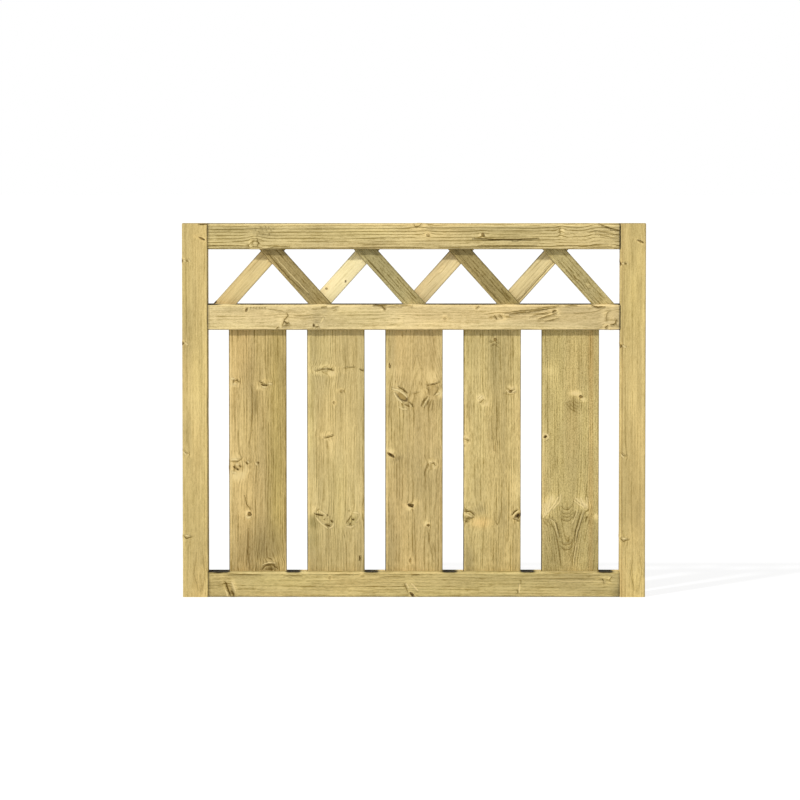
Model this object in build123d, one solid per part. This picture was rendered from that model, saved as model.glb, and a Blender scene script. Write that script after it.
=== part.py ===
from build123d import *
import math
import os

# Wooden garden gate leaf, millimetres. +X runs along the width from the hinge stile to the
# latch stile, +Y from the front face to the back, +Z up. The origin is in the middle of the
# outer edge of the hinge stile.

# Leaf and frame
leaf_width = 990
leaf_height = 800
frame_width = 55
frame_depth = 45
frame_round = 3

# Open band under the top rail, which holds the zigzag of slats
band_height = 117

# Grooves along the rails, and the stub tenons that carry the rails in the stiles
board_groove_depth = 15
slat_groove_depth = 10
fit_clearance = 0.2
end_clearance = 2
tenon_length = 30
tenon_haunch = 10

# Upright boards
board_count = 5
board_width = 123
board_thickness = 18
board_round = 2

# Zigzag slats, in two layers that lap at the points of the zigzag
slat_pairs = 4
slat_foot_inset = 37
slat_width = 37
slat_round = 1
point_below_rail = 4
point_above_rail = 1

# Levels and lengths that follow from the sizes above
top_z = leaf_height / 2
bottom_z = -leaf_height / 2
top_rail_under = top_z - frame_width
middle_rail_top = top_rail_under - band_height
middle_rail_under = middle_rail_top - frame_width
bottom_rail_top = bottom_z + frame_width
shoulder_left = frame_width
shoulder_right = leaf_width - frame_width
clear_width = shoulder_right - shoulder_left
board_gap = (clear_width - board_count * board_width) / (board_count + 1)
slat_thickness = board_thickness / 2
groove_width = board_thickness + 2 * fit_clearance
middle_x = leaf_width / 2
slat_pitch = (clear_width - 2 * slat_foot_inset) / slat_pairs


def block(x0, x1, y0, y1, z0, z1):
    centre = Pos((x0 + x1) / 2, (y0 + y1) / 2, (z0 + z1) / 2)
    return centre * Box(x1 - x0, y1 - y0, z1 - z0)


def rail(z0, z1, groove_above, groove_below):
    # The two grooves are given by their depths, 0 for none
    half = frame_depth / 2
    body = block(shoulder_left, shoulder_right, -half, half, z0, z1)
    body = fillet(body.edges().filter_by(Axis.X), frame_round)
    tenon_z0 = z0 + tenon_haunch
    tenon_z1 = z1 - tenon_haunch
    side = groove_width / 2
    if groove_above:
        tenon_z1 = z1 - groove_above
        body -= block(shoulder_left, shoulder_right, -side, side, tenon_z1, z1)
    if groove_below:
        tenon_z0 = z0 + groove_below
        body -= block(shoulder_left, shoulder_right, -side, side, z0, tenon_z0)
    thick = board_thickness / 2
    left = block(shoulder_left - tenon_length, shoulder_left, -thick, thick, tenon_z0, tenon_z1)
    right = block(shoulder_right, shoulder_right + tenon_length, -thick, thick, tenon_z0, tenon_z1)
    return body + left + right, tenon_z0, tenon_z1


def stile(x0, x1, mortise_x0, mortise_x1, tenon_levels):
    half = frame_depth / 2
    body = block(x0, x1, -half, half, bottom_z, top_z)
    body = fillet(body.edges().filter_by(Axis.Z), frame_round)
    side = groove_width / 2
    for z0, z1 in tenon_levels:
        body -= block(
            mortise_x0, mortise_x1, -side, side, z0 - fit_clearance, z1 + fit_clearance
        )
    return body


def board(number):
    x0 = shoulder_left + board_gap * (number + 1) + board_width * number
    half = board_thickness / 2
    z0 = bottom_rail_top - board_groove_depth
    z1 = middle_rail_under + board_groove_depth - end_clearance
    body = block(x0, x0 + board_width, -half, half, z0, z1)
    return fillet(body.edges().filter_by(Axis.Z), board_round)


def slat(foot_x, point_x, y0, y1):
    foot_z = middle_rail_top + point_above_rail
    point_z = top_rail_under - point_below_rail
    run = (point_x - foot_x) / (point_z - foot_z)
    half = slat_width / 2 * math.hypot(1, run)
    z0 = middle_rail_top - slat_groove_depth
    z1 = top_rail_under + slat_groove_depth - end_clearance
    x0 = foot_x + run * (z0 - foot_z)
    x1 = foot_x + run * (z1 - foot_z)
    corners = [(x0 - half, z0), (x0 + half, z0), (x1 + half, z1), (x1 - half, z1)]
    outline = Plane.XZ.offset(-y0) * Polygon(*corners, align=None)
    body = extrude(outline, amount=-(y1 - y0))
    long_edges = [e for e in body.edges() if e.length > slat_width * 2]
    return fillet(long_edges, slat_round)


top_rail, top_t0, top_t1 = rail(top_rail_under, top_z, 0, slat_groove_depth)
middle_rail, mid_t0, mid_t1 = rail(
    middle_rail_under, middle_rail_top, slat_groove_depth, board_groove_depth
)
bottom_rail, low_t0, low_t1 = rail(bottom_z, bottom_rail_top, board_groove_depth, 0)
levels = [(top_t0, top_t1), (mid_t0, mid_t1), (low_t0, low_t1)]
mortise_depth = tenon_length + end_clearance

pieces = {
    "hinge_stile": stile(0, frame_width, frame_width - mortise_depth, frame_width, levels),
    "latch_stile": stile(
        shoulder_right, leaf_width, shoulder_right, shoulder_right + mortise_depth, levels
    ),
    "top_rail": top_rail,
    "middle_rail": middle_rail,
    "bottom_rail": bottom_rail,
}
for n in range(board_count):
    pieces[f"board_{n + 1}"] = board(n)
for n in range(slat_pairs):
    point = middle_x + slat_pitch * (n - (slat_pairs - 1) / 2)
    left_foot = point - slat_pitch / 2
    right_foot = point + slat_pitch / 2
    pieces[f"falling_slat_{n + 1}"] = slat(right_foot, point, -slat_thickness, 0)
    pieces[f"rising_slat_{n + 1}"] = slat(left_foot, point, 0, slat_thickness)

os.makedirs("parts", exist_ok=True)
for name, solid in pieces.items():
    export_step(solid, f"parts/{name}.step")
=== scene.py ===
import math
from collections import namedtuple
from itertools import product

import bpy
import numpy as np
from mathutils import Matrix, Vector


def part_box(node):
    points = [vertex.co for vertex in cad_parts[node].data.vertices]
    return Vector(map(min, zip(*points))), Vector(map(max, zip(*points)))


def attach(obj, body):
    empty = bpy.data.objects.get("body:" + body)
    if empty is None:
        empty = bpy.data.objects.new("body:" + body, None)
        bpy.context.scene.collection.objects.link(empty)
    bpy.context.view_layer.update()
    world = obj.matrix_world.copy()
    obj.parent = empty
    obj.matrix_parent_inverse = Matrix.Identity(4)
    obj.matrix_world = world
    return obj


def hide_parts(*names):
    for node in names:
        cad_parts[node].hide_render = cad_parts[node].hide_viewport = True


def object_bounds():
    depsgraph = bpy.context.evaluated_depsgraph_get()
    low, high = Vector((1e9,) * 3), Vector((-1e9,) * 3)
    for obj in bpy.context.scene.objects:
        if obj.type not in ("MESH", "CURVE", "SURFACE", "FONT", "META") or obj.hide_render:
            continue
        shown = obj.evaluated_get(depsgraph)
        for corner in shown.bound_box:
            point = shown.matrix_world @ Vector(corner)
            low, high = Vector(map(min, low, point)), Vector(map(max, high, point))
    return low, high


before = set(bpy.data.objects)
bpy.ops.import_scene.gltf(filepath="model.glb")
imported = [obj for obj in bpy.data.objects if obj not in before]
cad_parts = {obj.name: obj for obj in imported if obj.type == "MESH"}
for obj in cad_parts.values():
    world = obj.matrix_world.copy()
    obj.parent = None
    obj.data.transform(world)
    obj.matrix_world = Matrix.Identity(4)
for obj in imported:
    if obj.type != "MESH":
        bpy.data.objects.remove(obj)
cad_low, cad_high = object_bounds()

# Wooden garden gate leaf. Every timber is a fine mesh that takes the place of its CAD node. Its wood
# is worked out in the timber's own millimetres: along the grain, across the face and in from the front.
MM = 0.001

# Sizes that the frame does not give by itself
FRAME_ROUND = 3.0
BOARD_ROUND = 2.0
SLAT_ROUND = 1.0
SLAT_WIDTH = 37.0
BOARD_GROOVE = 15.0
SLAT_GROOVE = 10.0
GROOVE_WIDTH = 18.4

# Directions of the leaf, along which a timber lies
RIGHT = (1.0, 0.0, 0.0)
INTO = (0.0, 1.0, 0.0)
UP = (0.0, 0.0, 1.0)

# Mesh spacing, and the angle in degrees from which an edge is shaded sharp
FACE_STEP = 1.8
SIDE_STEP = 2.4
ROUND_STEPS = 5
COARSE_STEP = 5.0
FINE_STEP = 1.8
LEAST_STEP = 0.7 * FINE_STEP
END_SHARES = (0.03, 0.1, 0.22, 0.36, 0.5, 0.65, 0.8, 0.92)
SHARP_ANGLE = 38

# How far off a point lies that no knot or mark reaches, how far a mark reaches to its sides, and up to
# what length a mark has closer cross-sections
FAR = 9.0
MARK_REACH = 3.4
SHORT_MARK = 60.0

# What the material reads from each mesh
MARK_LAYERS = ("mark_a", "mark_b", "mark_c")
SHADED = ("rings", "bold", "knot", "knot_dark", "knot_side", "light", "red", "grain", *MARK_LAYERS)

# A branch knot: where its middle meets the front face, its length along and width across the grain,
# how dark it is, how pale the wood round it is, how far its long axis leans from the grain in degrees
# and how far the wood swells out
Knot = namedtuple("Knot", "along across long wide dark pale lean swell", defaults=(0.4, 0, 0.4))
# A soft patch of lighter (+) or darker (-) and redder (+) or greener (-) wood, with its half sizes, its
# lean from the grain, how ragged it is and how much bolder its grain lines are. It goes right through
# the timber, or stays about one depth where half_deep is given.
# Some patches lay painted shade, and some painted highlights, as noted at each timber.
Patch = namedtuple(
    "Patch", "along across half_along half_across light red lean ragged bold deep half_deep",
    defaults=(0.0, 0, 0.0, 0.0, 0.0, None),
)
# A pointed figure, where the saw ran out through rings: its place, its half length, how many rings it
# holds, and whether it points up (1) or down (-1) the grain
Figure = namedtuple("Figure", "along half_along count points")
# A dent knocked out of an edge
Dent = namedtuple("Dent", "along across size deep")
# A mark is a plain row for a line in the wood, such as a drying crack or the edge of a knot: its half width
# in the middle, how dark (+) or pale (-) it is and the (along, across) points that it runs through.
# The wood of a timber is one list of its knots, marks, patches, figures and dents.

# A timber's log: where the heart of the tree lay beside it, how that drifts along the grain, how far
# apart the year rings are, how strongly the grain shows, the seed for everything uneven in it, how strong
# the short fibres and the specks are, and the share of each ring that stays pale
Log = namedtuple(
    "Log", "heart_across heart_in drift_across drift_in ring show seed short specks pale_share",
    defaults=(1.0, 0.4, 0.40),
)


def of_kind(wood, kind):
    """The entries of one kind in a timber's wood, in their order. Marks are plain tuples."""
    return [entry for entry in wood if type(entry) is kind]


def linear(red, green, blue):
    """A colour given as eight-bit screen values, as the shader wants it."""
    def channel(value):
        value /= 255
        return value / 12.92 if value <= 0.04045 else ((value + 0.055) / 1.055) ** 2.4

    return (channel(red), channel(green), channel(blue), 1.0)


def speckle(x, y, z, seed):
    """Repeatable numbers from 0 to 1 for whole-number places."""
    n = x * 374761393 + y * 668265263 + z * 1440662683 + seed * 974711
    n = (n ^ (n >> 13)) & 0xFFFFFFFF
    n = (n * 1274126177) & 0xFFFFFFFF
    return ((n ^ (n >> 16)) & 0xFFFFFF) / 0xFFFFFF


def noise(x, y, z, seed):
    """Smooth noise from -1 to 1."""
    cells = [np.floor(v) for v in (x, y, z)]
    parts = [v - c for v, c in zip((x, y, z), cells)]
    parts = [p * p * p * (p * (p * 6 - 15) + 10) for p in parts]
    cells = [c.astype(np.int64) for c in cells]
    total = np.zeros(np.shape(x))
    for corner in product((0, 1), repeat=3):
        weight = 1.0
        for p, c in zip(parts, corner):
            weight = weight * (p if c else 1 - p)
        total += weight * speckle(*(cell + c for cell, c in zip(cells, corner)), seed)
    return total * 2 - 1


# Cross-sections

def straight(start, end, step):
    """Points from start up to but not including end."""
    start, end = np.array(start, float), np.array(end, float)
    count = max(1, round(float(np.linalg.norm(end - start)) / step))
    return [start + (end - start) * i / count for i in range(count)]


def bend(centre, radius, first, last):
    """Points round a quarter circle, angles in degrees, without the last one."""
    angles = np.radians(np.linspace(first, last, ROUND_STEPS, endpoint=False))
    return [np.array(centre) + radius * np.array((math.cos(t), math.sin(t))) for t in angles]


def edge(across, start, end, inward, groove, depth):
    """One narrow side from depth start to depth end, with its long groove, whose depth may be 0."""
    corners = [(across, start), (across, end)]
    if groove:
        way = 1 if end > start else -1
        near = depth / 2 - way * GROOVE_WIDTH / 2
        far = depth / 2 + way * GROOVE_WIDTH / 2
        floor = across + inward * groove
        corners[1:1] = [(across, near), (floor, near), (floor, far), (across, far)]
    return [point for a, b in zip(corners, corners[1:]) for point in straight(a, b, SIDE_STEP)]


def section(width, depth, radius, low_groove=0.0, high_groove=0.0):
    """A timber's closed outline as (across, in) points, the front face first, and outward normals."""
    r = radius
    points = straight((r, 0), (width - r, 0), FACE_STEP)
    points += bend((width - r, r), r, -90, 0)
    points += edge(width, r, depth - r, -1, high_groove, depth)
    points += bend((width - r, depth - r), r, 0, 90)
    points += straight((width - r, depth), (r, depth), FACE_STEP)
    points += bend((r, depth - r), r, 90, 180)
    points += edge(0, depth - r, r, 1, low_groove, depth)
    points += bend((r, r), r, 180, 270)
    points = np.array(points)
    step = np.roll(points, -1, 0) - np.roll(points, 1, 0)
    normals = np.stack([step[:, 1], -step[:, 0]], 1)
    return points, normals / np.linalg.norm(normals, axis=1, keepdims=True)


def stations(start, stop, wood):
    """Places along a timber for its cross-sections, closer together at the knots and slanting marks."""
    places = list(np.linspace(start, stop, max(2, round((stop - start) / COARSE_STEP) + 1)))
    for k in of_kind(wood, Knot):
        reach = max(k.long, k.wide) * 0.75 + 4
        places += list(np.arange(k.along - reach, k.along + reach, FINE_STEP))
    for _, _, *points in of_kind(wood, tuple):
        first, last = min(p[0] for p in points), max(p[0] for p in points)
        if last - first < SHORT_MARK:
            places += list(np.arange(first - MARK_REACH, last + MARK_REACH, FINE_STEP))
    places = sorted(p for p in places if start < p < stop)
    kept = [start]
    for p in places:
        if min(p - kept[-1], stop - p) > LEAST_STEP:
            kept.append(p)
    return np.array(kept + [stop])


# The wood itself

# How far a knot climbs along a timber for each millimetre of depth, how much of its width it has lost at
# the back, how far a mark wanders off its line, how much of the thickness it goes into, and how far the
# long edges are worn on average
KNOT_CLIMB = 0.12
KNOT_TAPER = 0.35
MARK_WANDER = 0.6
MARK_DEPTH = 0.3
EDGE_WEAR = 0.25


def turned(ahead, beside, lean):
    """Distances ahead and beside, as they are along and across a line that leans by so many degrees."""
    cos, sin = math.cos(math.radians(lean)), math.sin(math.radians(lean))
    return ahead * cos + beside * sin, beside * cos - ahead * sin


def add_knot(fields, k, number, along, across, inward, log, thick):
    """Lay one knot into the wood: its core, the pale wood round it and the grain that parts for it."""
    ahead = along - k.along - KNOT_CLIMB * inward
    beside = across - k.across
    p, q = turned(ahead, beside, k.lean)
    p, q = p / (k.long / 2), q / (k.wide / 2)
    ragged = 1 + 0.18 * noise(p * 1.3 + 7 * number, q * 1.3, inward / 30, log.seed + 11)
    away = np.hypot(p, q) * ragged / (1 - KNOT_TAPER * inward / thick)
    closer = away < fields["knot"]
    open_side = 0.5 + 0.5 * np.cos(np.arctan2(q, p) - 2.4 * number - log.seed)
    fields["knot"] = np.where(closer, away, fields["knot"])
    fields["knot_dark"] = np.where(closer, k.dark, fields["knot_dark"])
    fields["knot_side"] = np.where(closer, open_side, fields["knot_side"])
    girth = (k.wide / 2) ** 2 * np.exp(-((ahead / (1.2 * k.long + 9)) ** 2))
    fields["parting"] += beside * np.abs(beside) / np.sqrt(beside**2 + girth + 1e-6) - beside
    fields["bulge"] += (0.4 + k.wide / 25) * np.exp(-((away / 2.4) ** 2))
    fields["bold"] += 0.5 * np.exp(-((away / 2.4) ** 2))
    blotch = 1 + 0.7 * noise(ahead / 7, beside / 5, inward / 9, log.seed + 12)
    halo = np.exp(-(((away - 1.7) / 0.8) ** 2)) * (1.15 - 0.8 * open_side)
    fields["light"] += 0.45 * k.pale * halo * blotch
    fields["red"] += 0.3 * k.dark * np.exp(-((away / 2.2) ** 2))
    mound = 2.0 * np.exp(-((away / 1.35) ** 2))
    pit = 1.2 * k.dark * np.exp(-((away / 0.8) ** 4))
    fields["raised"] += k.swell * (mound - pit)


def add_patch(fields, s, along, across, inward, log):
    """Lay one soft patch of other colour into the wood."""
    p, q = turned(along - s.along, across - s.across, s.lean)
    shape = (p / s.half_along) ** 2 + (q / s.half_across) ** 2
    if s.half_deep is not None:
        shape = shape + ((inward - s.deep) / s.half_deep) ** 2
    if s.ragged:
        shape = shape * (1 + 0.9 * s.ragged * noise(along / 60, across / 3.2, inward / 4, log.seed + 13))
        shape = shape + 0.7 * s.ragged * (1 + noise(along / 14, across / 2.4, inward / 4, log.seed + 14))
    strength = np.exp(-(shape**1.3))
    fields["light"] += s.light * strength
    fields["red"] += s.red * strength
    fields["bold"] += s.bold * strength


def count_rings(fields, along, across, inward, log, wood):
    """How many year rings lie between each point and the heart."""
    flowing = across + fields["parting"]
    heart_across = log.heart_across + log.drift_across * along
    heart_in = log.heart_in + log.drift_in * along
    rings = np.hypot(flowing - heart_across, inward - heart_in)
    rings += 1.2 * noise(along / 260, flowing / 45, inward / 45, log.seed + 1)
    rings += 0.35 * noise(along / 80, flowing / 11, inward / 11, log.seed + 2)
    rings = rings / log.ring - fields["bulge"]
    for f in of_kind(wood, Figure):
        rings += f.points * f.count * np.tanh((along - f.along) / f.half_along)
    return rings, flowing


def lay_marks(along, across, inward, log, thick, marks):
    """For each point near a mark: how far it is off the mark's line, and how wide and dark that is."""
    off = np.full(along.shape, FAR)
    half = np.zeros(along.shape)
    dark = np.zeros(along.shape)
    for number, (widest, darkness, *points) in enumerate(marks):
        points = np.array(points, float)
        lengths = np.hypot(*np.diff(points, axis=0).T)
        gone = 0.0
        for start, end, length in zip(points, points[1:], lengths):
            way = (end - start) / length
            ahead, beside = along - start[0], across - start[1]
            run = ahead * way[0] + beside * way[1]
            side = beside * way[0] - ahead * way[1]
            side = side + MARK_WANDER * noise(run / 7, 3.3 * number + gone + 0 * run, 0 * run, log.seed + 3)
            share = np.clip((gone + run) / lengths.sum(), 0, 1)
            here = (run > -1) & (run < length + 1) & (np.abs(side) < np.minimum(MARK_REACH, np.abs(off)))
            here &= inward < MARK_DEPTH * thick
            off = np.where(here, side, off)
            half = np.where(here, widest * (4 * share * (1 - share)) ** 0.5, half)
            dark = np.where(here, darkness, dark)
            gone += length
    return np.stack([off, half, dark], -1)


def wood_fields(along, across, inward, log, thick, wood):
    """What the material and the relief need to know at each point of a timber."""
    plain = ("knot_dark", "knot_side", "parting", "bulge", "bold", "raised")
    fields = {key: np.zeros(along.shape) for key in plain}
    fields["knot"] = np.full(along.shape, FAR)
    fields["light"] = 0.12 * noise(along / 210, across / 40, inward / 40, log.seed + 5)
    fields["light"] += 0.09 * noise(along / 60, across / 14, inward / 14, log.seed + 6)
    fields["red"] = 0.25 * noise(along / 160, across / 33, inward / 33, log.seed + 7)
    for number, k in enumerate(of_kind(wood, Knot)):
        add_knot(fields, k, number, along, across, inward, log, thick)
    for s in of_kind(wood, Patch):
        add_patch(fields, s, along, across, inward, log)
    fields["rings"], flowing = count_rings(fields, along, across, inward, log, wood)
    fields["grain"] = np.stack([along, flowing, inward], -1)
    marks = of_kind(wood, tuple)
    for n, layer in enumerate(MARK_LAYERS):
        fields[layer] = lay_marks(along, across, inward, log, thick, marks[n::len(MARK_LAYERS)])
    return fields


def relief(fields, along, across, normals, log, wood):
    """How far each point stands out from the plain timber, in millimetres."""
    corner = 2 * np.abs(normals[:, 0] * normals[:, 1])
    which = np.sign(normals[:, 0]) + 3 * np.sign(normals[:, 1])
    worn = EDGE_WEAR + 0.35 * noise(along / 26, which + 0 * along, 0 * along, log.seed + 9)
    worn += 0.2 * noise(along / 7, which + 0 * along, 0 * along, log.seed + 10)
    out = fields["raised"] - corner * np.clip(worn, 0, 1)
    for d in of_kind(wood, Dent):
        shape = ((along - d.along) / d.size) ** 2 + ((across - d.across) / d.size) ** 2
        out = out - d.deep * np.exp(-shape) * (normals[:, 1] < 0.3)
    return out


# Meshes

def add_object(name, data):
    """A new object in the scene."""
    thing = bpy.data.objects.new(name, data)
    bpy.context.scene.collection.objects.link(thing)
    return thing


def build_timber(node, tone, log, outline, ends, corner, ways, wood, skew=0.0, capped=False):
    """A timber swept from one of its ends to the other: outline is its section, corner is where its own
    measures start, ways are the directions along and across it, and skew leans the cut ends. capped gives
    the ends a fine face of their own."""
    name = "pine_" + node
    material = pine(node, tone, log)
    points, normals = outline
    places = stations(*ends, wood)
    thick = points[:, 1].max()
    rows, columns = len(places), len(points)
    across = np.broadcast_to(points[:, 0], (rows, columns))
    inward = np.broadcast_to(points[:, 1], (rows, columns))
    along = places[:, None] + skew * across
    fields = wood_fields(along, across, inward, log, thick, wood)
    out = relief(fields, along, across, normals, log, wood)
    measures = np.stack([along, across + out * normals[:, 0], inward + out * normals[:, 1]], -1)
    measures = measures.reshape(-1, 3)
    layers = {key: fields[key].reshape(rows * columns, -1) for key in SHADED}
    layers["end"] = np.zeros((rows * columns, 1))
    index = np.arange(rows * columns).reshape(rows, columns)
    after = np.roll(index, -1, 1)
    faces = np.stack([index[:-1], after[:-1], after[1:], index[1:]], -1).reshape(-1, 4).tolist()
    for row, turned in ((0, False), (rows - 1, True)):
        loop = index[row]
        if not capped:
            faces.append(loop.tolist() if turned else loop[::-1].tolist())
            continue
        rim = measures[loop]
        middle = rim.mean(0)
        inner = np.concatenate([rim + (middle - rim) * share for share in END_SHARES] + [middle[None]])
        first = len(measures)
        measures = np.concatenate([measures, inner])
        more = wood_fields(*inner.T, log, thick, wood)
        for key in SHADED:
            layers[key] = np.concatenate([layers[key], more[key].reshape(len(inner), -1)])
        layers["end"] = np.concatenate([layers["end"], np.ones((len(inner), 1))])
        rings = first + np.arange(len(END_SHARES) * columns).reshape(-1, columns)
        rings = np.concatenate([loop[None], rings])
        beside = np.roll(rings, -1, 1)
        cap = np.stack([rings[:-1], rings[1:], beside[1:], beside[:-1]], -1).reshape(-1, 4)
        fan = np.stack([rings[-1], np.full(columns, first + len(inner) - 1), beside[-1]], -1)
        for part in (cap, fan):
            faces += (part if not turned else part[:, ::-1]).tolist()
    mesh = bpy.data.meshes.new(name)
    in_frame = corner + measures @ np.array((*ways, INTO))
    mesh.from_pydata((in_frame * MM).tolist(), [], faces)
    for key, value in layers.items():
        vector = value.shape[1] == 3
        layer = mesh.attributes.new(key, "FLOAT_VECTOR" if vector else "FLOAT", "POINT")
        layer.data.foreach_set("vector" if vector else "value", value.astype(np.float32).ravel())
    mesh.validate()
    mesh.update()
    mesh.polygons.foreach_set("use_smooth", np.ones(len(mesh.polygons), bool))
    mesh.set_sharp_from_angle(angle=math.radians(SHARP_ANGLE))
    mesh.materials.append(material)
    piece = add_object(name, mesh)
    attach(piece, "root")
    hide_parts(node)


def in_mm(node):
    """A CAD node's lowest and highest corners in millimetres."""
    low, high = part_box(node)
    return np.array(low) / MM, np.array(high) / MM


# Material

def add_node(tree, kind, inputs=(), **settings):
    """A shader node with its settings, and its inputs linked or set by name or number."""
    node = tree.nodes.new(kind)
    for key, value in settings.items():
        setattr(node, key, value)
    for key, value in dict(inputs).items():
        socket = node.inputs[key]
        if isinstance(value, bpy.types.NodeSocket):
            tree.links.new(value, socket)
        else:
            socket.default_value = value
    return node


def empty_tree(owner):
    """The shader tree of a material or a world, with nothing in it."""
    owner.use_nodes = True
    owner.node_tree.nodes.clear()
    return owner.node_tree


def end_tree(tree, shader, kind="ShaderNodeOutputMaterial"):
    """Give a tree its output node, with the shader that it shows."""
    tree.links.new(shader.outputs[0], add_node(tree, kind).inputs["Surface"])


class Shading:
    """Short names for the shader nodes that the wood uses."""

    def __init__(self, tree):
        self.tree = tree

    def math(self, operation, a, b=0.0, clamp=False):
        node = add_node(self.tree, "ShaderNodeMath", {0: a, 1: b}, operation=operation, use_clamp=clamp)
        return node.outputs[0]

    def times(self, a, b, clamp=False):
        return self.math("MULTIPLY", a, b, clamp)

    def plus(self, a, b, factor):
        """a and b times factor, added up."""
        return self.math("ADD", a, self.times(b, factor))

    def attribute(self, name, output="Fac"):
        return add_node(self.tree, "ShaderNodeAttribute", attribute_name=name).outputs[output]

    def ramp(self, value, low, high, to_low=0.0, to_high=1.0):
        inputs = {"Value": value, "From Min": low, "From Max": high, "To Min": to_low, "To Max": to_high}
        node = add_node(self.tree, "ShaderNodeMapRange", inputs, interpolation_type="SMOOTHSTEP")
        return node.outputs["Result"]

    def mix(self, share, a, b, blend="MIX"):
        inputs = {0: share, 6: a, 7: b}
        return add_node(self.tree, "ShaderNodeMix", inputs, data_type="RGBA", blend_type=blend).outputs[2]

    def tinted(self, colour, share, tint):
        return self.mix(share, colour, tint, "MULTIPLY")

    def scaled(self, colour, factor):
        node = add_node(self.tree, "ShaderNodeVectorMath", {0: colour, "Scale": factor}, operation="SCALE")
        return node.outputs[0]

    def streaks(self, grain, along, across, detail):
        """Noise drawn out along the grain, from -0.5 to 0.5."""
        stretch = add_node(
            self.tree, "ShaderNodeVectorMath", {0: grain, 1: (along, across, across)}, operation="MULTIPLY"
        )
        inputs = {"Vector": stretch.outputs[0], "Scale": 1.0, "Detail": detail, "Roughness": 0.6}
        node = add_node(self.tree, "ShaderNodeTexNoise", inputs)
        return self.math("SUBTRACT", node.outputs["Fac"], 0.5)


KNOT_BROWN = linear(164, 136, 72)
KNOT_DEEP = linear(146, 118, 58)
KNOT_RIM = linear(84, 64, 24)
KNOT_HEART = linear(52, 36, 10)
PALE_WOOD_AND_HIGHLIGHT = linear(238, 215, 154)
MARK_STAIN = linear(224, 214, 168)
MARK_DARK = linear(80, 61, 22)
RED_TINT = linear(255, 236, 214)
GREEN_TINT = linear(242, 245, 214)

# How the wood of spring and of summer differs from a timber's middle colour, how dark the darker patches and
# painted shade can make it, how dark the cut ends are, how deep the bumps are in metres, and how rough and
# how glossy the wood is
SPRING_SCALE = (1.22, 1.24, 1.33)
SUMMER_SCALE = (0.50, 0.45, 0.28)
DARKEST = 0.05
END_SCALE = 0.72
BUMP_DEPTH = 0.0008
ROUGHNESS = 0.68
GLOSS = 0.12


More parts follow.
